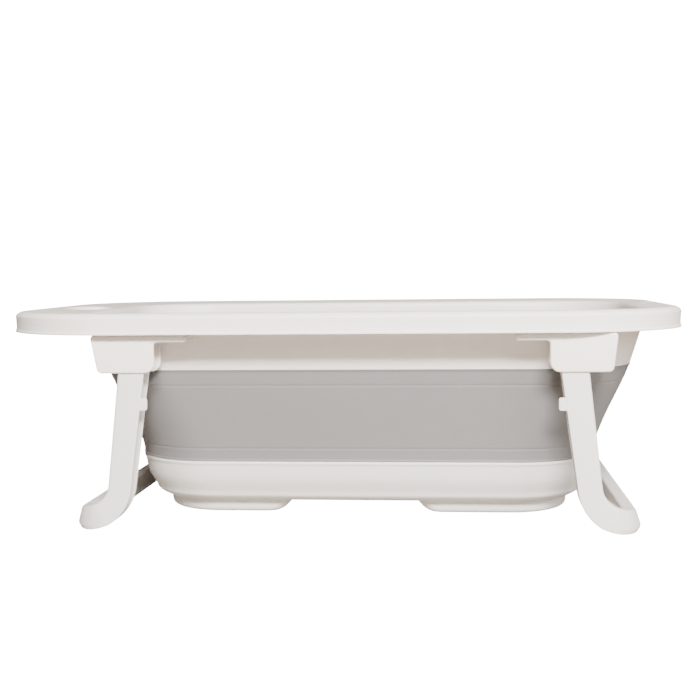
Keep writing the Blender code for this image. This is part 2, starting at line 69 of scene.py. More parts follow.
# How finely the pieces are drawn
CORNER_STEPS = 22
SIDE_STEPS = 8
ROUND_STEPS = 6
SMALL_ROUND_STEPS = 4
OVAL_STEPS = 72

# Space left between pieces that touch, and how far a cutter reaches past what it cuts
GAP = 0.0003
PAST = 0.005

# Rim. The deck falls towards the tub between its start and its end.
rim_low, rim_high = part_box("rim_frame")
RIM_HALF = ((rim_high.x - rim_low.x) / 2, (rim_high.y - rim_low.y) / 2)
RIM_CORNER = 0.150
RIM_TOP = rim_high.z
SKIRT_HEIGHT = 0.0250
SKIRT_BOTTOM = RIM_TOP - SKIRT_HEIGHT
RIM_WALL_BOTTOM = rim_low.z
DECK_START = 0.0220
DECK_END = 0.0460
DECK_START_DROP = 0.0010
DECK_END_DROP = 0.0030

# Webs under the deck
WEB_OUTS = (-0.140, -0.070, 0.0, 0.070, 0.140)
WEB_THICKNESS = 0.0018
WEB_LOW = RIM_TOP - 0.0110
WEB_HIGH = RIM_TOP - 0.0028
WEB_CLEARANCE = 0.0050

# Tub sizes, as half length, half width and corner radius of the outer face
soft_low, soft_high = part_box("soft_wall")
base_low, base_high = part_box("base_shell")
TUB_X = (soft_low.x + soft_high.x) / 2
MOUTH = (0.3442, 0.1990, 0.1050)
MOUTH_Z = 0.2470
MOUTH_DEPTH = RIM_HALF[1] - MOUTH[1]
UPPER_JOINT = ((soft_high.x - soft_low.x) / 2, (soft_high.y - soft_low.y) / 2, 0.1000)
LOWER_JOINT = (0.2824, 0.1840, 0.1000)
KNEE = (0.2695, 0.1720, 0.0900)
BEND = (0.2575, 0.1605, 0.0800)
FLAT = (0.2450, 0.1485, 0.0700)
LOWER_JOINT_Z = base_high.z
PAD_BOTTOM = base_low.z
FLOOR_UNDERSIDE = 0.0235
WALL = 0.0030
PAD_GAP = (-0.0605, 0.0915)
PAD_INNER_CORNER = 0.0180
PAD_CORNER_SHRINK = 0.3

# Soft wall. Each level is a height and the outline's share between the lower and the upper joint.
SOFT_WALL = 0.0025
SOFT_LEVELS = ((0.1680, 0.83), (0.1250, 0.36), (0.0920, 0.06))
SOFT_CURVE_STEPS = 14
SOFT_ROW_STEPS = 3
BEAD_STAND = 0.0007
BEAD_HEIGHT = 0.0030
CREASE_LEVELS = (SOFT_LEVELS[0][0], SOFT_LEVELS[2][0])
CREASE_DEPTH = 0.0004
CREASE_WIDTH = 0.0011

# Soap dish in the deck's wide end, and hose rest across the rim's other end
DISH = mounts["soap_dish_floor"]
DISH_HALF = (0.0290, 0.0500)
DISH_DECK_START = DECK_START - RIM_HALF[0]
DISH_DECK_END = TUB_X - MOUTH[0] - (MOUTH_DEPTH - DECK_END)
DISH_TILT = (DECK_END_DROP - DECK_START_DROP) / (DISH_DECK_END - DISH_DECK_START)
DISH_DECK_Z = RIM_TOP - DECK_START_DROP - DISH_TILT * (DISH[0] - DISH_DECK_START)
REST_Y = DISH[1] + 0.0150
REST_HALF = 0.0160
REST_SEAT_X = (RIM_HALF[0] - 0.0300, RIM_HALF[0] - 0.0045)
REST_SEAT_Z = (RIM_TOP - 0.0085, RIM_TOP - 0.0028)
REST_RADIUS = 0.0195
REST_REACH = 0.0500
REST_AXIS_Z = RIM_TOP + 0.0160

# Ridges on the base's floor, sunk a hair into it. Their ends taper to a small share of their section.
RIDGE_ROWS = 9
RIDGE_PITCH = 0.026
RIDGE_MARGIN = 0.014
RIDGE_HALF_WIDTH = 0.0022
RIDGE_HEIGHT = 0.0009
RIDGE_SUNK = 0.00002
RIDGE_TIP = 0.02
RIDGE_STEPS = 10

# Drain
SPIGOT_RADIUS = 0.0180
BORE_RADIUS = SPIGOT_RADIUS - 0.0030
DRAIN_FLANGE = 0.0020
NOTCHES = 12
NOTCH_RADIUS = 0.0018
NOTCH_OUT = 0.0008

# Legs. An "out" is a distance along x from the middle plane between the two leg frames.
right_pin_low, right_pin_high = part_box("right_front_pivot_pin")
left_pin_low, left_pin_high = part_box("left_front_pivot_pin")
RIGHT_PIVOT_X = (right_pin_low.x + right_pin_high.x) / 2
LEFT_PIVOT_X = (left_pin_low.x + left_pin_high.x) / 2
LEG_X = (RIGHT_PIVOT_X + LEFT_PIVOT_X) / 2
PIVOT_OUT = (RIGHT_PIVOT_X - LEFT_PIVOT_X) / 2
PIVOT_Z = (right_pin_low.z + right_pin_high.z) / 2
leg_low, leg_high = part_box("right_leg_frame")
LEG_FRONT = leg_high.y
LEG_DEPTH = 0.0270
HEAD_WIDTH = 0.0315
ANKLE_WIDTH = 0.0272
LEG_HEAD = 0.0108
ANKLE_OUT = 0.2700
FOOT_RADIUS = 0.0420
FOOT_CORNER = 0.0300
ANKLE_Z = 0.0640
CROSSBAR_WIDTH = 0.0220
CROSSBAR_OUT = leg_high.x - LEG_X - CROSSBAR_WIDTH / 2
CROSSBAR_HEIGHT = 0.0252
FOOT_HEIGHT = 0.0290
OUTER_SLOPE = 0.0065
LIP_TUCK = 0.0040
LIP_TUCK_HEIGHT = 0.0055
CHANNEL_WALL = 0.0030
SOLE = leg_low.z
STRAIGHT_STEPS = 14
BEND_STEPS = 30
BEND_SHORTEST = 0.0005
TURN_STEPS = 32
CROSSBAR_STEPS = 9
TAB_OUT = (0.2347, 0.2455)
TAB_Z = (0.1438, 0.1584)
TAB_CORNER = 0.0026
TAB_EDGE = 0.0005

# Foot grips, with grooves across the sole that run out at both sides
GRIP_CORNER = 0.0040
GRIP_TOP_EDGE = 0.0003
GRIP_BOTTOM_EDGE = 0.0004
TREADS = 6
TREAD_WIDTH = 0.0022
TREAD_DEPTH = 0.0012
TREAD_REACH = 1.2

# Sockets, with their outs measured as the legs' are
socket_low, socket_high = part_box("right_front_leg_socket")
SOCKET_FRONT = -socket_low.y
SOCKET_BACK = -socket_high.y
SOCKET_BOTTOM = socket_low.z
SOCKET_TOP = socket_high.z
FLANGE_TIP = socket_low.x - LEG_X
SOCKET_OUTER_BOTTOM = {-1: 0.2915, 1: 0.2945}
SOCKET_OUTER_TOP = socket_high.x - LEG_X
SOCKET_INNER = 0.2248
SOCKET_PLATE = 0.0030
SOCKET_FRONT_EDGE = 0.0022
SOCKET_BACK_EDGE = 0.0006
CAVITY_INNER = 0.2150
CAVITY_STEP = (0.2225, 0.2280)
CAVITY_OUTER = (0.2878, 0.2960)
CAVITY_STEP_DROP = 0.0097
FLANGE_DEPTH = 0.0088
FLANGE_BOTTOM = SOCKET_TOP - FLANGE_DEPTH
FLANGE_SEAT = 0.0050
HOUSING_SEAT = 0.0047
SNAP_SLOT_OUT = 0.2050
SNAP_SLOT_Y = (0.2316, 0.2364)
SNAP_SLOT_DEPTH = 0.0052

# Pins and screws. The cross in a screw's head is turned by an angle in radians.
PIN_RADIUS = 0.0030
PIN_HEAD = 0.0017
PIN_SOCKET_DEPTH = 0.0018
SCREW_RADIUS = 0.00175
SCREW_HEAD_RADIUS = 0.0035
SCREW_HEAD = 0.0019
THREAD_PITCH = 0.0010
THREAD_DEPTH = 0.00028
CROSS_SIZE = (0.0036, 0.0009, 0.0020)
CROSS_TURN = 0.3
HEAD_HOLE = 0.0041
BOSS_RADIUS = 0.0045
BOSS_TOP = RIM_TOP - 0.0025
PILOT_DEPTH = 0.0120

# Stage: the floor lies just under the feet, and both floor and world are seen as white
SEEN_WHITE = 20.0
FILL_COLOUR = (1.0, 0.76, 0.56, 1.0)
FILL_STRENGTH = 0.13
FLOOR_COLOUR = (0.33, 0.29, 0.25, 1.0)
FLOOR_SEEN_SHARE = 0.93
FLOOR_Z = -0.0005
FLOOR_HALF = 40.0

# Lights: name, place, target, size, watts and colour
LIGHTS = (
    ("key", (0.48, -2.45, 1.75), (0.05, 0.0, 0.15), (1.3, 0.5), 320.0, (1.0, 0.985, 0.965)),
    ("top", (0.2, 0.3, 2.2), (0.0, 0.0, 0.15), (1.8, 1.8), 3.0, (0.75, 0.87, 1.0)),
    ("low", (0.1, -2.6, 0.30), (0.0, 0.0, 0.10), (2.2, 0.3), 8.0, (1.0, 0.99, 0.98)),
    ("side", (1.9, -1.5, 1.0), (0.1, 0.0, 0.15), (0.9, 0.9), 40.0, (1.0, 0.99, 0.98)),
)


# ---------------------------------------------------------------- shape tools

# Limits: an angle that counts as straight, a radius that counts as none, and the least spread of a corner
NEARLY_STRAIGHT = 1e-4
ON_AXIS = 1e-7
LEAST_SPREAD = 0.35


def mesh_object(tools, name, sharp=40.0):
    """Turns a bmesh into an object that is smooth except at its sharp edges."""
    bmesh.ops.recalc_face_normals(tools, faces=tools.faces)
    mesh = bpy.data.meshes.new(name)
    tools.to_mesh(mesh)
    tools.free()
    mesh.shade_smooth()
    mesh.set_sharp_from_angle(angle=math.radians(sharp))
    obj = bpy.data.objects.new(name, mesh)
    bpy.context.scene.collection.objects.link(obj)
    return obj


def combine(obj, others, operation, sharp=40.0):
    """Cuts the other shapes out of an object, or joins them to it, for good."""
    for other in others:
        modifier = obj.modifiers.new(other.name, "BOOLEAN")
        modifier.operation = operation
        modifier.object = other
        modifier.solver = "EXACT"
    evaluated = obj.evaluated_get(bpy.context.evaluated_depsgraph_get())
    mesh = bpy.data.meshes.new_from_object(evaluated)
    obj.modifiers.clear()
    obj.data = mesh
    mesh.shade_smooth()
    mesh.set_sharp_from_angle(angle=math.radians(sharp))
    for other in others:
        bpy.data.objects.remove(other)


def laid(obj, turn, axis, place):
    """Turns a shape about an axis through the origin, then moves it to its place."""
    obj.data.transform(Matrix.Rotation(turn, 4, axis))
    obj.data.transform(Matrix.Translation(place))
    return obj


def node_place(node):
    """The middle of a CAD node, seen from above."""
    low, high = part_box(node)
    return ((low.x + high.x) / 2, (low.y + high.y) / 2)


def arc(centre, start, end, radius, steps):
    """Points along an arc between two angles in degrees."""
    points = []
    for step in range(steps + 1):
        angle = math.radians(start + (end - start) * step / steps)
        points.append((centre[0] + radius * math.cos(angle), centre[1] + radius * math.sin(angle)))
    return points


def rounded_outline(low_x, high_x, half_y, low_radius, high_radius):
    """Points of a rounded rectangle, counter-clockwise from its (-X, -Y) corner."""
    corners = (
        (low_x + low_radius, low_radius - half_y, low_radius, 180),
        (high_x - high_radius, high_radius - half_y, high_radius, 270),
        (high_x - high_radius, half_y - high_radius, high_radius, 0),
        (low_x + low_radius, half_y - low_radius, low_radius, 90),
    )
    arcs = [arc((x, y), start, start + 90.0, radius, CORNER_STEPS) for x, y, radius, start in corners]
    points = []
    for this, following in zip(arcs, arcs[1:] + arcs[:1]):
        points += this
        (x1, y1), (x2, y2) = this[-1], following[0]
        for step in range(1, SIDE_STEPS):
            share = step / SIDE_STEPS
            points.append((x1 + (x2 - x1) * share, y1 + (y2 - y1) * share))
    return points


def rectangle(low_x, high_x, low_y, high_y):
    """A rectangle's corners, counter-clockwise."""
    return [(low_x, low_y), (high_x, low_y), (high_x, high_y), (low_x, high_y)]


def ring(size, inset, z, centre_x=0.0):
    """A level rounded rectangle, moved in from its size by an inset."""
    half_x, half_y, radius = size
    low, high = centre_x - half_x + inset, centre_x + half_x - inset
    outline = rounded_outline(low, high, half_y - inset, radius - inset, radius - inset)
    return [Vector((x, y, z)) for x, y in outline]


def between(low, high, share):
    """A size between two sizes."""
    return tuple(a + (b - a) * share for a, b in zip(low, high))


def blended(first, second, share):
    """A ring between two rings."""
    return [a.lerp(b, share) for a, b in zip(first, second)]


def loft(rings, closed, tools=None):
    """Skins rings of equal count. A closed loft joins its last ring to its first, an open one is capped."""
    tools = tools or bmesh.new()
    made = [[tools.verts.new(point) for point in points] for points in rings]
    count = len(made[0])
    pairs = list(zip(made, made[1:]))
    if closed:
        pairs.append((made[-1], made[0]))
    else:
        tools.faces.new(made[0])
        tools.faces.new(made[-1])
    for lower, upper in pairs:
        for i in range(count):
            j = (i + 1) % count
            tools.faces.new((lower[i], lower[j], upper[j], upper[i]))
    return tools


def rounded_corners(corners, closed=True, steps=ROUND_STEPS):
    """Points of an outline whose (x, y, radius) corners are rounded by arcs."""
    points = []
    count = len(corners)
    for i, (x, y, radius) in enumerate(corners):
        at_end = not closed and i in (0, count - 1)
        if radius == 0 or at_end:
            points.append((x, y))
            continue
        corner = Vector((x, y))
        to_last = (Vector(corners[i - 1][:2]) - corner).normalized()
        to_next = (Vector(corners[(i + 1) % count][:2]) - corner).normalized()
        half_angle = to_last.angle(to_next) / 2
        if math.pi / 2 - half_angle < NEARLY_STRAIGHT:
            # A straight corner gets the same count of points, along its line
            offsets = [radius * (step / steps - 0.5) for step in range(steps + 1)]
            points += [(x + to_next.x * offset, y + to_next.y * offset) for offset in offsets]
            continue
        start = corner + to_last * (radius / math.tan(half_angle))
        end = corner + to_next * (radius / math.tan(half_angle))
        centre = corner + (to_last + to_next).normalized() * (radius / math.sin(half_angle))
        sweep = (start - centre).angle_signed(end - centre)
        for step in range(steps + 1):
            spoke = start - centre
            spoke.rotate(Matrix.Rotation(-sweep * step / steps, 2))
            points.append(tuple(centre + spoke))
    return points


def curve_value(p, q, r, s, t):
    """A Catmull-Rom curve's value at the share t of the way from q to r."""
    linear = r - p
    square = 2 * p - 5 * q + 4 * r - s
    cube = 3 * q - p - 3 * r + s
    return 0.5 * (2 * q + linear * t + square * t**2 + cube * t**3)


def smooth_curve(points, steps=6):
    """A smooth curve through points of any number of values."""
    curve = []
    last = len(points) - 1
    for i in range(last):
        around = (points[max(i - 1, 0)], points[i], points[i + 1], points[min(i + 2, last)])
        for step in range(steps):
            curve.append(tuple(curve_value(*values, step / steps) for values in zip(*around)))
    curve.append(tuple(points[-1]))
    return curve


def inset_outline(points, distance):
    """Moves a counter-clockwise outline inwards by a distance."""
    moved = []
    count = len(points)
    for i in range(count):
        here = Vector(points[i])
        before = (here - Vector(points[i - 1])).normalized()
        after = (Vector(points[(i + 1) % count]) - here).normalized()
        normal = (Vector((-before.y, before.x)) + Vector((-after.y, after.x))).normalized()
        spread = max(LEAST_SPREAD, normal.dot(Vector((-before.y, before.x))))
        moved.append(tuple(here + normal * distance / spread))
    return moved


def placed(outline, level, axis):
    """An outline as points at a level along an axis."""
    if axis == "Y":
        return [Vector((x, level, z)) for x, z in outline]
    return [Vector((x, y, level)) for x, y in outline]


def rounded_prism(name, outline, low, high, low_edge, high_edge, axis):
    """Extrudes a counter-clockwise outline, with its edges rounded at both ends."""
    angles = [math.pi / 2 * step / ROUND_STEPS for step in range(ROUND_STEPS + 1)]
    levels = [(low + low_edge * (1 - math.sin(a)), low_edge * (1 - math.cos(a))) for a in reversed(angles)]
    levels += [(high - high_edge * (1 - math.sin(a)), high_edge * (1 - math.cos(a))) for a in angles]
    rings = [placed(inset_outline(outline, inset), level, axis) for level, inset in levels]
    return mesh_object(loft(rings, closed=False), name)


def plain_prism(name, outline, low, high, axis):
    """Extrudes an outline along an axis."""
    rings = [placed(outline, level, axis) for level in (low, high)]
    return mesh_object(loft(rings, closed=False), name)


def add_box(tools, middle, size, turn=0.0):
    """Adds a box to a bmesh, turned about its upright axis."""
    place = Matrix.Translation(middle) @ Matrix.Rotation(turn, 4, "Z")
    bmesh.ops.create_cube(tools, size=1.0, matrix=place @ Matrix.Diagonal((*size, 1.0)))


def rods(name, places, radius, low, high, segments=32):
    """Upright cylinders at several places, as one shape to cut or join with."""
    tools = bmesh.new()
    for x, y in places:
        bmesh.ops.create_cone(
            tools, cap_ends=True, segments=segments, radius1=radius, radius2=radius,
            depth=high - low, matrix=Matrix.Translation((x, y, (low + high) / 2)),
        )
    return mesh_object(tools, name)


def turned(name, profile, place, turn=None, segments=64):
    """Turns a closed profile of (radius, z) about Z. A profile may start and end on the axis."""
    tools = bmesh.new()
    count = len(profile)
    columns = []
    for step in range(segments):
        spin = Matrix.Rotation(2 * math.pi * step / segments, 3, "Z")
        columns.append([spin @ Vector((radius, 0, z)) for radius, z in profile])
    on_axis = {i for i, (radius, _) in enumerate(profile) if radius < ON_AXIS}
    shared = {i: tools.verts.new(columns[0][i]) for i in on_axis}
    verts = [[shared.get(i) or tools.verts.new(column[i]) for i in range(count)] for column in columns]
    faces_around = count - 1 if on_axis else count
    for step in range(segments):
        here, following = verts[step], verts[(step + 1) % segments]
        for i in range(faces_around):
            j = (i + 1) % count
            corners = []
            for vert in (here[i], here[j], following[j], following[i]):
                if vert not in corners:
                    corners.append(vert)
            if len(corners) > 2:
                tools.faces.new(corners)
    obj = mesh_object(tools, name, sharp=35.0)
    obj.data.transform(Matrix.Translation(place) @ (turn or Matrix.Identity(4)))
    return obj


# ---------------------------------------------------------------- materials

# How far the gloss varies either way, and how deep the grain is
GLOSS_SPREAD = 0.06
GRAIN_DEPTH = 0.0002


def set_inputs(node, values):
    """Sets a shader node's inputs by their names."""
    for name, value in values.items():
        node.inputs[name].default_value = value


def finish(name, colour, roughness, variation, grain, bump, sheen=0.0, metallic=0.0, stretch=(1.0, 1.0, 1.0)):
    """A moulded or drawn surface: fine grain in its height, slow changes in its colour and gloss."""
    material = bpy.data.materials.new(name)
    material.use_nodes = True
    nodes, links = material.node_tree.nodes, material.node_tree.links
    shader = nodes["Principled BSDF"]
    set_inputs(shader, {"Metallic": metallic, "Sheen Weight": sheen})
    place = nodes.new("ShaderNodeTexCoord")
    squeeze = nodes.new("ShaderNodeMapping")
    set_inputs(squeeze, {"Scale": stretch})
    links.new(place.outputs["Object"], squeeze.inputs["Vector"])

    slow = nodes.new("ShaderNodeTexNoise")
    set_inputs(slow, {"Scale": 9.0, "Detail": 3.0})
    links.new(squeeze.outputs["Vector"], slow.inputs["Vector"])
    darker = [max(0.0, c - variation) for c in colour]
    lighter = [min(1.0, c + variation) for c in colour]
    tint = nodes.new("ShaderNodeMix")
    tint.data_type = "RGBA"
    set_inputs(tint, {"A": (*darker, 1.0), "B": (*lighter, 1.0)})
    links.new(slow.outputs["Fac"], tint.inputs["Factor"])
    links.new(tint.outputs["Result"], shader.inputs["Base Color"])

    fine = nodes.new("ShaderNodeTexNoise")
    set_inputs(fine, {"Scale": grain, "Detail": 4.0, "Roughness": 0.6})
    links.new(squeeze.outputs["Vector"], fine.inputs["Vector"])
    gloss = nodes.new("ShaderNodeMapRange")
    set_inputs(gloss, {"From Min": 0.3, "From Max": 0.7})
    set_inputs(gloss, {"To Min": roughness - GLOSS_SPREAD, "To Max": roughness + GLOSS_SPREAD})
    links.new(fine.outputs["Fac"], gloss.inputs["Value"])
    links.new(gloss.outputs["Result"], shader.inputs["Roughness"])
    relief = nodes.new("ShaderNodeBump")
    set_inputs(relief, {"Strength": bump, "Distance": GRAIN_DEPTH})
    links.new(fine.outputs["Fac"], relief.inputs["Height"])
    links.new(relief.outputs["Normal"], shader.inputs["Normal"])
    return material


WHITE_PP = finish("white_pp", (0.865, 0.805, 0.745), roughness=0.40, variation=0.006, grain=900.0, bump=0.25)
BASE_PP = finish("base_pp", (0.73, 0.70, 0.668), roughness=0.42, variation=0.006, grain=900.0, bump=0.25)
LEG_PP = finish("leg_pp", (0.72, 0.69, 0.66), roughness=0.45, variation=0.008, grain=700.0, bump=0.35)
GREY_TPE = finish(
    "grey_tpe", (0.160, 0.151, 0.149), roughness=0.62, variation=0.005, grain=500.0, bump=0.50, sheen=0.05,
)
FOOT_RUBBER = finish(
    "foot_rubber", (0.20, 0.195, 0.19), roughness=0.80, variation=0.010, grain=400.0, bump=0.60,
)
PIN_STEEL = finish(
    "pin_steel", (0.62, 0.62, 0.63), roughness=0.30, variation=0.030, grain=900.0, bump=0.30,
    metallic=1.0, stretch=(1.0, 1.0, 0.1),
)


def complete(obj, node, body, material):
    """Gives a piece its material and its body, and hides the CAD node it stands for."""
    obj.data.materials.clear()
    obj.data.materials.append(material)
    if node:
        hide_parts(node)
    if body:
        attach(obj, body)


# ---------------------------------------------------------------- rim

def tub_size(z):
    """The tub's upper wall: from the soft wall's joint up to the mouth."""
    share = min(1.0, (z - RIM_WALL_BOTTOM) / (MOUTH_Z - RIM_WALL_BOTTOM))
    return between(UPPER_JOINT, MOUTH, share)


def rim_level(depth, z):
    """The ring at a depth in from the skirt.

    Across the deck it changes from the rim's outline to the mouth's.
    """
    outer = (*RIM_HALF, RIM_CORNER)
    if depth <= DECK_START:
        return ring(outer, depth, z)
    if depth >= DECK_END:
        return ring(tub_size(z), depth - MOUTH_DEPTH, z, TUB_X)
    share = (depth - DECK_START) / (DECK_END - DECK_START)
    mouth = ring(MOUTH, DECK_END - MOUTH_DEPTH, z, TUB_X)
    return blended(ring(outer, DECK_START, z), mouth, share)


def rim_section():
    """The rim's moulded section as (depth, z, radius).

    It runs up the skirt, over the deck and its lip, down the upper wall and back underneath.
    """
    top = RIM_TOP
    bottom = SKIRT_BOTTOM
    inner = MOUTH_DEPTH + WALL
    return [
        (0.0000, bottom, 0.0009),
        (0.0000, bottom + 0.0026, 0.0008),
        (0.0011, bottom + 0.0032, 0.0005),
        (0.0012, bottom + 0.0100, 0.0200),
        (0.0004, top - 0.0050, 0.0030),
        (0.0050, top - 0.0004, 0.0100),
        (0.0130, top, 0.0300),
        (DECK_START, top - DECK_START_DROP, 0.0),
        (0.0300, top - 0.00167, 0.0),
        (0.0380, top - 0.00233, 0.0),
        (DECK_END, top - DECK_END_DROP, 0.0),
        (inner, top - 0.0038, 0.0062),
        (inner, MOUTH_Z - 0.0070, 0.0),
        (inner, RIM_WALL_BOTTOM, 0.0006),
        (MOUTH_DEPTH, RIM_WALL_BOTTOM, 0.0006),
        (MOUTH_DEPTH, MOUTH_Z - 0.0080, 0.0),
        (MOUTH_DEPTH, top - 0.0070, 0.0035),
        (DECK_END, top - 0.0066, 0.0),
        (DECK_START, top - 0.0042, 0.0),
        (0.0042, top - 0.0036, 0.0060),
        (0.0038, bottom, 0.0006),
    ]


def dish_ring(grow, z, tilt=0.0):
    """An oval around the soap dish. A tilt follows the deck's fall towards the tub."""
    points = []
    for step in range(OVAL_STEPS):
        angle = 2 * math.pi * step / OVAL_STEPS
        x = (DISH_HALF[0] + grow) * math.cos(angle)
        y = (DISH_HALF[1] + grow) * math.sin(angle)
        points.append(Vector((DISH[0] + x, DISH[1] + y, z - tilt * x)))
    return points


def dish_shell():
    """The soap dish's underside, which is joined to the rim before the dish is cut."""
    floor = DISH[2] - WALL
    rings = [
        dish_ring(0.0006, floor),
        dish_ring(0.0020, floor + 0.0006),
        dish_ring(0.0030, floor + 0.0022),
        dish_ring(0.0030, DISH_DECK_Z - 0.0016, DISH_TILT),
    ]
    return mesh_object(loft(rings, closed=False), "dish_shell")


def dish_cutter():
    """The soap dish's hollow: flat floor, rounded foot, steep side and soft upper edge."""
    floor = DISH[2]
    deck = DISH_DECK_Z
    rings = [
        dish_ring(-0.0050, floor),
        dish_ring(-0.0032, floor + 0.0003),
        dish_ring(-0.0019, floor + 0.0012),
        dish_ring(-0.0012, floor + 0.0026),
        dish_ring(0.0002, deck - 0.0014, DISH_TILT),
        dish_ring(0.0007, deck - 0.0006, DISH_TILT),
        dish_ring(0.0016, deck - 0.0001, DISH_TILT),
        dish_ring(0.0030, deck + 0.0003, DISH_TILT),
        dish_ring(0.0050, deck + 0.0060, DISH_TILT),
    ]
    return mesh_object(loft(rings, closed=False), "dish_cutter")


def rim_webs():
    """Thin webs under the deck, between the skirt and the tub's wall, clear of the folded legs."""
    tools = bmesh.new()
    y = RIM_HALF[1] - MOUTH_DEPTH / 2
    size = (WEB_THICKNESS, MOUTH_DEPTH - WEB_CLEARANCE, WEB_HIGH - WEB_LOW)
    for face, _ in FACES:
        for out in WEB_OUTS:
            add_box(tools, (LEG_X + out, face * y, (WEB_HIGH + WEB_LOW) / 2), size)
    return mesh_object(tools, "webs")


def screw_nodes():
    """The CAD nodes of the screws, socket by socket."""
    sockets = [f"{side_name}_{face_name}" for _, side_name in SIDES for _, face_name in FACES]
    return [f"{socket}_{spot}_screw" for socket in sockets for spot in SCREW_SPOTS]


def make_rim():
    """The rim with its webs, screw bosses, soap dish and hose rest."""
    section = rounded_corners(rim_section())
    rim = mesh_object(loft([rim_level(depth, z) for depth, z in section], closed=True), "rim_moulding")

    seat_outline = rectangle(*REST_SEAT_X, REST_Y - REST_HALF, REST_Y + REST_HALF)
    seat = plain_prism("rest_seat", seat_outline, *REST_SEAT_Z, "Z")
    screws = [node_place(node) for node in screw_nodes()]
    bosses = rods("bosses", screws, BOSS_RADIUS, SKIRT_BOTTOM, BOSS_TOP)
    combine(rim, [dish_shell(), seat, bosses, rim_webs()], "UNION")

    groove = rods("rest_groove", [(0.0, 0.0)], REST_RADIUS, -REST_REACH, REST_REACH, segments=96)
    laid(groove, math.pi / 2, "Y", (RIM_HALF[0], REST_Y, REST_AXIS_Z))
    pilots = rods("pilots", screws, SCREW_RADIUS + GAP, SKIRT_BOTTOM - PAST, SKIRT_BOTTOM + PILOT_DEPTH)
    combine(rim, [dish_cutter(), groove, pilots], "DIFFERENCE")
    complete(rim, "rim_frame", "rim", WHITE_PP)


# ---------------------------------------------------------------- soft wall

def soft_relief(z, joints):
    """How far the soft wall stands out at a height: a bead at each joint, a crease at each fold."""
    stand = 0.0
    for joint in joints:
        distance = abs(z - joint) / BEAD_HEIGHT
        if distance < 1.0:
            stand += BEAD_STAND * (1.0 - distance**2) ** 2
    for crease in CREASE_LEVELS:
        stand -= CREASE_DEPTH * math.exp(-(((z - crease) / CREASE_WIDTH) ** 2))
    return stand


def make_soft_wall():
    """The folding wall, which follows the rim at its top and the base at its bottom."""
    top = RIM_WALL_BOTTOM - GAP
    bottom = LOWER_JOINT_Z + GAP
    levels = [(1.0, top)] + [(share, z) for z, share in SOFT_LEVELS] + [(0.0, bottom)]
    curve = smooth_curve(levels, SOFT_CURVE_STEPS)
    rows = []
    for start, end in zip(curve, curve[1:]):
        rows += [between(start, end, step / SOFT_ROW_STEPS) for step in range(SOFT_ROW_STEPS)]
    rows.append(curve[-1])

    outside = []
    inside = []
    for share, z in rows:
        size = between(LOWER_JOINT, UPPER_JOINT, share)
        outside.append(ring(size, -soft_relief(z, (top, bottom)), z, TUB_X))
        inside.append(ring(size, SOFT_WALL, z, TUB_X))
    inside.reverse()
    wall = mesh_object(loft(outside + inside, closed=True), "folding_wall", sharp=60.0)
    complete(wall, "soft_wall", None, GREY_TPE)
    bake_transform(wall)


# ---------------------------------------------------------------- base

def base_shape():
    """The base's bowl: up its outside, over its rim and down its inside."""
    floor = FLOOR_UNDERSIDE
    top = LOWER_JOINT_Z
    outside = smooth_curve([
        (*FLAT, floor),
        (*BEND, floor + 0.0025),
        (*between(BEND, KNEE, 0.72), floor + 0.0080),
        (*KNEE, floor + 0.0150),
        (*between(KNEE, LOWER_JOINT, 0.62), floor + 0.0300),
        (*between(KNEE, LOWER_JOINT, 0.94), top - 0.0048),
    ])
    bead = [
        (-0.0001, top - 0.0036),
        (-0.0004, top - 0.0030),
        (-0.0004, top - 0.0008),
        (0.0000, top - 0.0002),
        (0.0006, top),
        (WALL - 0.0004, top),
        (WALL, top - 0.0004),
    ]
    rings = [ring(size, 0.0, z, TUB_X) for *size, z in outside]
    rings += [ring(LOWER_JOINT, inset, z, TUB_X) for inset, z in bead]
    for *size, z in reversed(outside):
        lift = WALL * (1 - (z - floor) / (top - floor))
        rings.append(ring(size, WALL, z + lift, TUB_X))
    return mesh_object(loft(rings, closed=False), "base_moulding")


def pad_level(side, inset, inner_inset, z):
    """One level of a raised pad, which follows the base's outline except at its inner end."""
    half_x, half_y, radius = BEND
    inner = PAD_GAP[side > 0] + side * inner_inset
    outer = TUB_X + side * (half_x - inset)
    inner_radius = PAD_INNER_CORNER - inner_inset * PAD_CORNER_SHRINK
    outer_radius = radius - inset
    if side < 0:
        outline = rounded_outline(outer, inner, half_y - inset, outer_radius, inner_radius)
    else:
        outline = rounded_outline(inner, outer, half_y - inset, inner_radius, outer_radius)
    return placed(outline, z, "Z")


def pad_shape(name, side, levels):
    """A raised pad's body or hollow through levels of (inset, inner inset, z)."""
    rings = [pad_level(side, *level) for level in smooth_curve(levels, steps=3)]
    return mesh_object(loft(rings, closed=False), name)


def pad_body(side, name):
    """The outside of a raised pad, joined to the bowl's underside."""
    return pad_shape(f"{name}_pad", side, [
        (0.0195, 0.0225, PAD_BOTTOM),
        (0.0145, 0.0185, PAD_BOTTOM + 0.0005),
        (0.0106, 0.0140, PAD_BOTTOM + 0.0022),
        (0.0086, 0.0090, PAD_BOTTOM + 0.0052),
        (0.0078, 0.0040, PAD_BOTTOM + 0.0100),
        (0.0074, 0.0010, PAD_BOTTOM + 0.0138),
        (0.0070, 0.0000, FLOOR_UNDERSIDE + 0.0009),
    ])


def pad_hollow(side, name):
    """The inside of a raised pad, cut from above."""
    return pad_shape(f"{name}_hollow", side, [
        (0.0225, 0.0240, PAD_BOTTOM + WALL),
        (0.0180, 0.0200, PAD_BOTTOM + WALL + 0.0007),
        (0.0144, 0.0160, PAD_BOTTOM + WALL + 0.0030),
        (0.0121, 0.0105, PAD_BOTTOM + WALL + 0.0070),
        (0.0108, 0.0062, PAD_BOTTOM + WALL + 0.0110),
        (0.0100, 0.0040, FLOOR_UNDERSIDE + WALL + 0.0012),
    ])


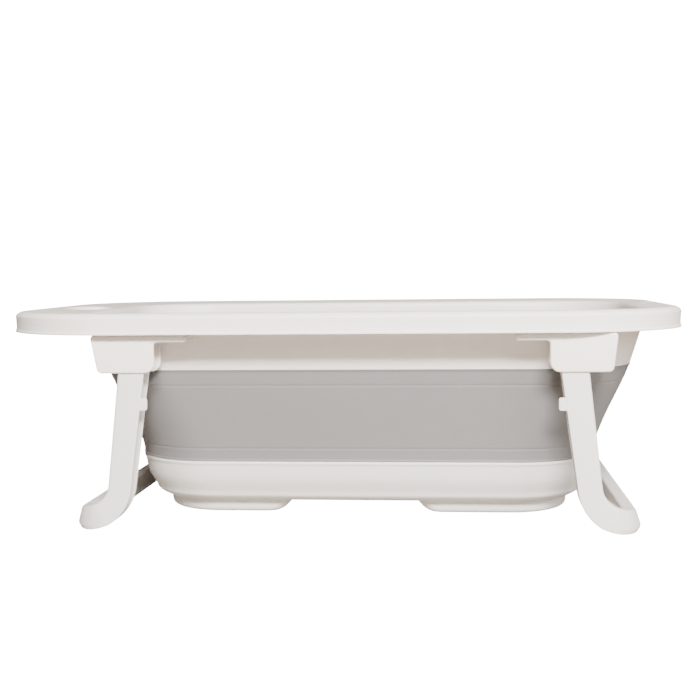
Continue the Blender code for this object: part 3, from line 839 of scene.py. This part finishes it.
def make_base():
    base = base_shape()
    combine(base, [pad_body(side, name) for side, name in SIDES], "UNION")
    drain = node_place("drain_seat")
    hole_ends = (PAD_BOTTOM - PAST, PAD_BOTTOM + WALL + PAST)
    hole = rods("drain_hole", [drain], SPIGOT_RADIUS + GAP, *hole_ends, segments=64)
    combine(base, [pad_hollow(side, name) for side, name in SIDES] + [hole], "DIFFERENCE")
    complete(base, "base_shell", "base", BASE_PP)


def make_floor_ridges():
    """Low anti-slip ridges on the base's floor, in the middle strip between the pads."""
    top = FLOOR_UNDERSIDE + WALL - RIDGE_SUNK
    low_x, high_x = PAD_GAP[0] + RIDGE_MARGIN, PAD_GAP[1] - RIDGE_MARGIN
    bow = [math.pi * step / RIDGE_STEPS for step in range(RIDGE_STEPS + 1)]
    profile = [(RIDGE_HALF_WIDTH * math.cos(angle), RIDGE_HEIGHT * math.sin(angle)) for angle in bow]
    levels = []
    for step in range(RIDGE_STEPS + 1):
        angle = math.pi / 2 * step / RIDGE_STEPS
        levels.append((low_x + RIDGE_HALF_WIDTH * (1 - math.cos(angle)), max(math.sin(angle), RIDGE_TIP)))
    levels += [(low_x + high_x - x, size) for x, size in reversed(levels)]
    tools = bmesh.new()
    for row in range(RIDGE_ROWS):
        y = (row - RIDGE_ROWS // 2) * RIDGE_PITCH
        rings = [[Vector((x, y + a * size, top + b * size)) for a, b in profile] for x, size in levels]
        loft(rings, closed=False, tools=tools)
    complete(mesh_object(tools, "floor_ridges"), None, "base", BASE_PP)


# ---------------------------------------------------------------- drain

def make_drain_seat(place):
    low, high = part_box("drain_seat")
    flange = (high.x - low.x) / 2
    floor = high.z - DRAIN_FLANGE
    profile = rounded_corners([
        (flange, floor, 0.0002),
        (SPIGOT_RADIUS, floor, 0.0002),
        (SPIGOT_RADIUS, low.z, 0.0005),
        (BORE_RADIUS, low.z, 0.0005),
        (BORE_RADIUS, high.z, 0.0008),
        (flange, high.z, 0.0014),
    ], steps=SMALL_ROUND_STEPS)
    complete(turned("drain_flange", profile, place), "drain_seat", "base", WHITE_PP)


def make_drain_nut(place):
    low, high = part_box("drain_nut")
    radius = (high.x - low.x) / 2
    profile = rounded_corners([
        (radius, high.z, 0.0008),
        (SPIGOT_RADIUS + GAP, high.z, 0.0003),
        (SPIGOT_RADIUS + GAP, low.z, 0.0003),
        (radius, low.z, 0.0008),
    ], steps=SMALL_ROUND_STEPS)
    nut = turned("drain_ring_nut", profile, place)
    around = arc(place, 0.0, 360.0, radius + NOTCH_OUT, NOTCHES)[:NOTCHES]
    notches = rods("notches", around, NOTCH_RADIUS, low.z - PAST, high.z + PAST, segments=20)
    combine(nut, [notches], "DIFFERENCE")
    complete(nut, "drain_nut", "base", WHITE_PP)


def make_drain_plug(place):
    """The stopper: a knob on a disc that covers the bore, with a hollow skirt inside it."""
    low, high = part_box("drain_plug")
    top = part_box("drain_seat")[1].z + GAP
    profile = rounded_corners([
        (0.0, high.z, 0.0),
        (0.0030, high.z, 0.0006),
        (0.0038, high.z - 0.0022, 0.0012),
        (0.0026, top + 0.0040, 0.0010),
        (0.0032, top + 0.0021, 0.0008),
        (0.0162, top + 0.0019, 0.0008),
        (0.0170, top + 0.0006, 0.0005),
        (0.0168, top, 0.0002),
        (BORE_RADIUS - 0.0004, top, 0.0003),
        (BORE_RADIUS - 0.0010, low.z, 0.0010),
        (BORE_RADIUS - 0.0030, low.z, 0.0004),
        (BORE_RADIUS - 0.0034, low.z + 0.0040, 0.0010),
        (0.0, low.z + 0.0040, 0.0),
    ], closed=False, steps=SMALL_ROUND_STEPS)
    complete(turned("drain_stopper", profile, place), "drain_plug", "plug", GREY_TPE)


def make_drain():
    place = (*node_place("drain_seat"), 0.0)
    make_drain_seat(place)
    make_drain_nut(place)
    make_drain_plug(place)


# ---------------------------------------------------------------- legs

def leg_direction():
    """The straight leg's direction, from the pivot down to the ankle."""
    return Vector((ANKLE_OUT - PIVOT_OUT, 0.0, ANKLE_Z - PIVOT_Z)).normalized()


def leg_places():
    """The channel's middle line as places, each with its share of the turn along the crossbar.

    The leg runs straight to the ankle and bends outwards. It turns along the crossbar while it bends.
    """
    mid_y = LEG_FRONT - LEG_DEPTH / 2
    down = leg_direction()
    centre_out = ANKLE_OUT - FOOT_RADIUS * down.z
    centre_z = SOLE + FOOT_HEIGHT / 2 + FOOT_RADIUS
    lean = math.degrees(math.atan2(down.x, -down.z))
    bend = arc((centre_out, centre_z), 180 + lean, 270, FOOT_RADIUS, BEND_STEPS)
    corner_out = CROSSBAR_OUT - FOOT_CORNER
    corner = arc((corner_out, mid_y - FOOT_CORNER), 90, 0, FOOT_CORNER, TURN_STEPS)

    head = Vector((PIVOT_OUT, mid_y, PIVOT_Z)) - down * LEG_HEAD
    ankle = Vector((bend[0][0], mid_y, bend[0][1]))
    places = [(head.lerp(ankle, step / STRAIGHT_STEPS), 0.0) for step in range(STRAIGHT_STEPS)]
    places += [(Vector((out, mid_y, z)), 0.0) for out, z in bend if out < corner_out - BEND_SHORTEST]
    for step, (out, across) in enumerate(corner):
        behind = max(0.0, centre_out - out)
        z = centre_z - math.sqrt(FOOT_RADIUS**2 - behind**2)
        places.append((Vector((out, across, z)), step / TURN_STEPS))
    last = places[-1][0]
    for step in range(1, CROSSBAR_STEPS):
        places.append((Vector((last.x, last.y * (1 - step / CROSSBAR_STEPS), last.z)), 1.0))
    return places


def leg_path():
    """Stations along the channel: place, direction, width, height and eased share of the turn."""
    places = leg_places()
    last = len(places) - 1
    stations = []
    for i, (place, turn) in enumerate(places):
        heading = (places[min(i + 1, last)][0] - places[max(i - 1, 0)][0]).normalized()
        share = turn * turn * (3 - 2 * turn)
        height = ANKLE_WIDTH + (FOOT_HEIGHT - ANKLE_WIDTH) * heading.xy.length
        if i < STRAIGHT_STEPS:
            height = HEAD_WIDTH + (height - HEAD_WIDTH) * i / STRAIGHT_STEPS
        height += (CROSSBAR_HEIGHT - FOOT_HEIGHT) * share
        width = LEG_DEPTH + (CROSSBAR_WIDTH - LEG_DEPTH) * share
        middle = place + Vector((0.0, 0.0, (CROSSBAR_HEIGHT - FOOT_HEIGHT) / 2 * share))
        stations.append((middle, heading, width, height, share))
    return stations


def channel_section(width, height, share):
    """A channel open on its -height side, with rounded outer edges and soft lips.

    Towards the crossbar its outer face leans in at the top, and its outer lip is tucked in below.
    """
    half = width / 2
    top = height / 2
    wall = CHANNEL_WALL
    slope = OUTER_SLOPE * share
    tuck = LIP_TUCK * share
    tuck_z = LIP_TUCK_HEIGHT - top
    corners = [
        (tuck - half, -top, 0.0009),
        (-half, tuck_z, 0.0050),
        (slope - half, top, 0.0034 + 0.0012 * share),
        (half, top, 0.0030),
        (half, -top, 0.0009),
        (half - wall, -top, 0.0009),
        (half - wall, top - wall, 0.0012),
        (slope + wall - half, top - wall, 0.0014),
        (wall - half, tuck_z, 0.0030),
        (wall + tuck - half, -top, 0.0009),
    ]
    return rounded_corners(corners, steps=5)


def leg_rings(side):
    """The channel's sections from the front leg's head round to the rear leg's."""
    rings = []
    for place, heading, width, height, share in leg_path():
        level = Vector((heading.x, heading.y, 0.0)).normalized()
        up = level * -heading.z + Vector((0.0, 0.0, heading.xy.length))
        across = heading.cross(up)
        points = [place + across * a + up * u for a, u in channel_section(width, height, share)]
        rings.append([Vector((LEG_X + side * p.x, p.y, p.z)) for p in points])
    mirrored = [[Vector((p.x, -p.y, p.z)) for p in points] for points in reversed(rings)]
    return rings + mirrored


def from_legs_middle(side, outline):
    """An outline given outwards from the legs' middle plane, kept counter-clockwise."""
    points = [(LEG_X + side * out, z) for out, z in outline]
    if side < 0:
        points.reverse()
    return points


def snap_tab(side, face):
    """The tab on a leg's inner edge that snaps into the socket's slot."""
    corners = [
        (TAB_OUT[0], TAB_Z[0], TAB_CORNER),
        (TAB_OUT[1], TAB_Z[0], 0.0),
        (TAB_OUT[1], TAB_Z[1], 0.0),
        (TAB_OUT[0], TAB_Z[1], TAB_CORNER),
    ]
    outline = from_legs_middle(side, rounded_corners(corners))
    low, high = sorted((face * (LEG_FRONT - GAP), face * (LEG_FRONT - CHANNEL_WALL + GAP)))
    return rounded_prism("tab", outline, low, high, TAB_EDGE, TAB_EDGE, "Y")


def pivot_bore(side, face):
    """The hole through a leg's head that its pin passes through."""
    bore = rods("bore", [(0.0, 0.0)], PIN_RADIUS + GAP, -LEG_DEPTH, LEG_DEPTH)
    place = (LEG_X + side * PIVOT_OUT, face * (LEG_FRONT - LEG_DEPTH / 2), PIVOT_Z)
    return laid(bore, math.pi / 2, "X", place)


def make_leg(side, name):
    leg = mesh_object(loft(leg_rings(side), closed=False), f"{name}_leg_moulding", sharp=45.0)
    combine(leg, [snap_tab(side, face) for face, _ in FACES], "UNION", sharp=45.0)
    combine(leg, [pivot_bore(side, face) for face, _ in FACES], "DIFFERENCE", sharp=45.0)
    complete(leg, f"{name}_leg_frame", f"{name}_legs", LEG_PP)


def make_foot_pad(side_name, face_name):
    """A rubber grip under a foot, with treads across its sole."""
    node = f"{side_name}_{face_name}_foot_pad"
    low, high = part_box(node)
    sole = [(x, y, GRIP_CORNER) for x, y in rectangle(low.x, high.x, low.y, high.y)]
    pad = rounded_prism(
        f"{side_name}_{face_name}_foot_grip", rounded_corners(sole),
        low.z, high.z, GRIP_BOTTOM_EDGE, GRIP_TOP_EDGE, "Z",
    )
    tools = bmesh.new()
    for step in range(1, TREADS + 1):
        y = low.y + (high.y - low.y) * step / (TREADS + 1)
        size = ((high.x - low.x) * TREAD_REACH, TREAD_WIDTH, TREAD_DEPTH)
        add_box(tools, ((low.x + high.x) / 2, y, low.z), size)
    combine(pad, [mesh_object(tools, "treads")], "DIFFERENCE")
    complete(pad, node, f"{side_name}_legs", FOOT_RUBBER)


# ---------------------------------------------------------------- sockets, pins and screws

def socket_outline(side):
    """The socket as seen from the front, counter-clockwise in (x, z)."""
    corners = [
        (FLANGE_TIP, FLANGE_BOTTOM, 0.0034),
        (SOCKET_INNER, FLANGE_BOTTOM, 0.0040),
        (SOCKET_INNER, SOCKET_BOTTOM, 0.0115),
        (SOCKET_OUTER_BOTTOM[side], SOCKET_BOTTOM, 0.0065),
        (SOCKET_OUTER_TOP, SOCKET_TOP, 0.0045),
        (FLANGE_TIP, SOCKET_TOP, 0.0045),
    ]
    return from_legs_middle(side, rounded_corners(corners, steps=9))


def socket_cavity(side):
    """The room inside the socket for the leg's head, open below."""
    bottom = SOCKET_BOTTOM - PAST
    step_top = SOCKET_TOP - CAVITY_STEP_DROP
    top = SOCKET_TOP - HOUSING_SEAT
    corners = [
        (CAVITY_INNER, bottom, 0.0),
        (CAVITY_OUTER[0], bottom, 0.0),
        (CAVITY_OUTER[1], top, 0.0020),
        (CAVITY_STEP[1], top, 0.0),
        (CAVITY_STEP[0], step_top, 0.0),
        (CAVITY_INNER, step_top, 0.0),
    ]
    return from_legs_middle(side, rounded_corners(corners, steps=5))


def pin_hole(side, face):
    """A blind hole for the pin, which opens in the socket's back."""
    ends = sorted((face * (SOCKET_FRONT - SOCKET_PLATE + PIN_SOCKET_DEPTH), face * (SOCKET_BACK - PAST)))
    hole = rods("pin_hole", [(0.0, 0.0)], PIN_RADIUS + GAP, *ends)
    return laid(hole, -math.pi / 2, "X", (LEG_X + side * PIVOT_OUT, 0.0, PIVOT_Z))


def snap_slot(side, face):
    """The slot under the flange's tip that takes the folded leg's tab."""
    xs = sorted((LEG_X + side * SNAP_SLOT_OUT, LEG_X + side * (FLANGE_TIP - PAST)))
    ys = sorted(face * y for y in SNAP_SLOT_Y)
    roof = FLANGE_BOTTOM + SNAP_SLOT_DEPTH
    return plain_prism("snap_slot", rectangle(*xs, *ys), FLANGE_BOTTOM - PAST, roof, "Z")


def make_socket(side, side_name, face, face_name):
    name = f"{side_name}_{face_name}"
    low, high = sorted((face * SOCKET_FRONT, face * SOCKET_BACK))
    edges = [SOCKET_FRONT_EDGE, SOCKET_BACK_EDGE]
    if face > 0:
        edges.reverse()
    socket = rounded_prism(f"{name}_leg_housing", socket_outline(side), low, high, *edges, "Y")
    cavity = plain_prism("cavity", socket_cavity(side), low + SOCKET_PLATE, high - SOCKET_PLATE, "Y")
    cutters = [cavity, pin_hole(side, face), snap_slot(side, face)]
    for spot in SCREW_SPOTS:
        at = [node_place(f"{name}_{spot}_screw")]
        cutters.append(rods("shank", at, SCREW_RADIUS + GAP, FLANGE_BOTTOM - PAST, SOCKET_TOP + PAST))
        if spot == "flange":
            cutters.append(rods("head_hole", at, HEAD_HOLE, FLANGE_BOTTOM - PAST, SOCKET_TOP - FLANGE_SEAT))
    combine(socket, cutters, "DIFFERENCE")
    complete(socket, f"{name}_leg_socket", "rim", WHITE_PP)


def make_pin(side_name, face, face_name):
    """A headed pin, with its head at the socket's back."""
    node = f"{side_name}_{face_name}_pivot_pin"
    low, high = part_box(node)
    head_radius = (high.x - low.x) / 2
    length = high.y - low.y
    profile = rounded_corners([
        (0.0, 0.0, 0.0),
        (head_radius, 0.0, 0.0006),
        (head_radius, -PIN_HEAD, 0.0003),
        (PIN_RADIUS, -PIN_HEAD, 0.0002),
        (PIN_RADIUS, -length, 0.0006),
        (0.0, -length, 0.0),
    ], closed=False, steps=SMALL_ROUND_STEPS)
    place = ((low.x + high.x) / 2, low.y if face > 0 else high.y, (low.z + high.z) / 2)
    turn = Matrix.Rotation(math.pi / 2 * face, 4, "X")
    pin = turned(f"{side_name}_{face_name}_steel_pin", profile, place, turn, segments=48)
    complete(pin, node, "rim", PIN_STEEL)


def screw_profile(tip, seat):
    """A pan-head screw's profile from its tip down, with fine rings as its thread."""
    root = SCREW_RADIUS - 0.0001
    profile = [(0.0, tip, 0.0), (SCREW_RADIUS * 0.5, tip - 0.0002, 0.0), (root, tip - 0.0016, 0.0)]
    z = tip - 0.0020
    while z > seat + THREAD_PITCH * 1.5:
        profile.append((SCREW_RADIUS, z, 0.0))
        profile.append((SCREW_RADIUS - THREAD_DEPTH, z - THREAD_PITCH / 2, 0.0))
        z -= THREAD_PITCH
    profile += [
        (root, seat, 0.0),
        (SCREW_HEAD_RADIUS, seat, 0.0002),
        (SCREW_HEAD_RADIUS, seat - SCREW_HEAD, 0.0012),
        (0.0, seat - SCREW_HEAD, 0.0),
    ]
    return rounded_corners(profile, closed=False, steps=SMALL_ROUND_STEPS)


def make_screw(node):
    """A pan-head screw whose head faces down, with a cross in it."""
    x, y = node_place(node)
    low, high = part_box(node)
    profile = screw_profile(high.z, low.z + SCREW_HEAD)
    screw = turned(node.replace("_screw", "_pan_screw"), profile, (x, y, 0.0), segments=40)
    arms = []
    for turn in (CROSS_TURN, CROSS_TURN + math.pi / 2):
        tools = bmesh.new()
        add_box(tools, (x, y, low.z), CROSS_SIZE, turn)
        arms.append(mesh_object(tools, "cross"))
    combine(screw, arms, "DIFFERENCE", sharp=35.0)
    complete(screw, node, "rim", PIN_STEEL)


# ---------------------------------------------------------------- stage

def make_camera():
    data = bpy.data.cameras.new("camera")
    data.sensor_width = SENSOR
    data.lens = LENS
    camera = bpy.data.objects.new("camera", data)
    bpy.context.scene.collection.objects.link(camera)
    turn = Matrix.Rotation(math.radians(CAMERA_YAW), 4, "Z")
    turn = turn @ Matrix.Rotation(math.radians(90.0 - CAMERA_PITCH), 4, "X")
    turn = turn @ Matrix.Rotation(math.radians(CAMERA_ROLL), 4, "Z")
    camera.matrix_world = Matrix.Translation(CAMERA_AT) @ turn
    bpy.context.scene.camera = camera


def add_light(name, place, target, size, watts, colour):
    data = bpy.data.lights.new(name, "AREA")
    data.shape = "RECTANGLE"
    data.size, data.size_y = size
    data.energy = watts
    data.color = colour
    light = bpy.data.objects.new(name, data)
    bpy.context.scene.collection.objects.link(light)
    light.location = place
    light.rotation_euler = (Vector(target) - Vector(place)).to_track_quat("-Z", "Y").to_euler()


def make_world():
    """White where it is seen directly, and a low warm fill as a light."""
    world = bpy.data.worlds.new("studio")
    bpy.context.scene.world = world
    world.use_nodes = True
    nodes, links = world.node_tree.nodes, world.node_tree.links
    fill = nodes["Background"]
    set_inputs(fill, {"Color": FILL_COLOUR, "Strength": FILL_STRENGTH})
    seen = nodes.new("ShaderNodeBackground")
    set_inputs(seen, {"Color": (1.0, 1.0, 1.0, 1.0), "Strength": SEEN_WHITE})
    path = nodes.new("ShaderNodeLightPath")
    mix = nodes.new("ShaderNodeMixShader")
    links.new(path.outputs["Is Camera Ray"], mix.inputs["Fac"])
    links.new(fill.outputs["Background"], mix.inputs[1])
    links.new(seen.outputs["Background"], mix.inputs[2])
    links.new(mix.outputs["Shader"], nodes["World Output"].inputs["Surface"])


def floor_material():
    """Nearly white where it is seen directly, and a warm matt surface to the lights."""
    material = bpy.data.materials.new("pale_floor")
    material.use_nodes = True
    nodes, links = material.node_tree.nodes, material.node_tree.links
    shader = nodes["Principled BSDF"]
    set_inputs(shader, {"Base Color": FLOOR_COLOUR, "Roughness": 0.9})
    glow = nodes.new("ShaderNodeEmission")
    set_inputs(glow, {"Strength": SEEN_WHITE})
    path = nodes.new("ShaderNodeLightPath")
    share = nodes.new("ShaderNodeMath")
    share.operation = "MULTIPLY"
    share.inputs[1].default_value = FLOOR_SEEN_SHARE
    mix = nodes.new("ShaderNodeMixShader")
    links.new(path.outputs["Is Camera Ray"], share.inputs[0])
    links.new(share.outputs["Value"], mix.inputs["Fac"])
    links.new(shader.outputs["BSDF"], mix.inputs[1])
    links.new(glow.outputs["Emission"], mix.inputs[2])
    links.new(mix.outputs["Shader"], nodes["Material Output"].inputs["Surface"])
    return material


def make_floor():
    """A pale floor that reads as a bright studio sweep and still takes a soft shadow."""
    tools = bmesh.new()
    bmesh.ops.create_grid(tools, x_segments=1, y_segments=1, size=FLOOR_HALF)
    bmesh.ops.translate(tools, verts=tools.verts, vec=(0.0, 0.0, FLOOR_Z))
    floor = mesh_object(tools, "floor")
    if floor.data.polygons[0].normal.z < 0:
        floor.data.flip_normals()
    floor.data.materials.append(floor_material())


def make_stage():
    make_world()
    make_floor()
    for light in LIGHTS:
        add_light(*light)


def main():
    make_camera()
    make_rim()
    make_soft_wall()
    make_base()
    make_floor_ridges()
    make_drain()
    for side, side_name in SIDES:
        make_leg(side, side_name)
        for face, face_name in FACES:
            make_foot_pad(side_name, face_name)
            make_socket(side, side_name, face, face_name)
            make_pin(side_name, face, face_name)
    for node in screw_nodes():
        make_screw(node)
    make_stage()


main()
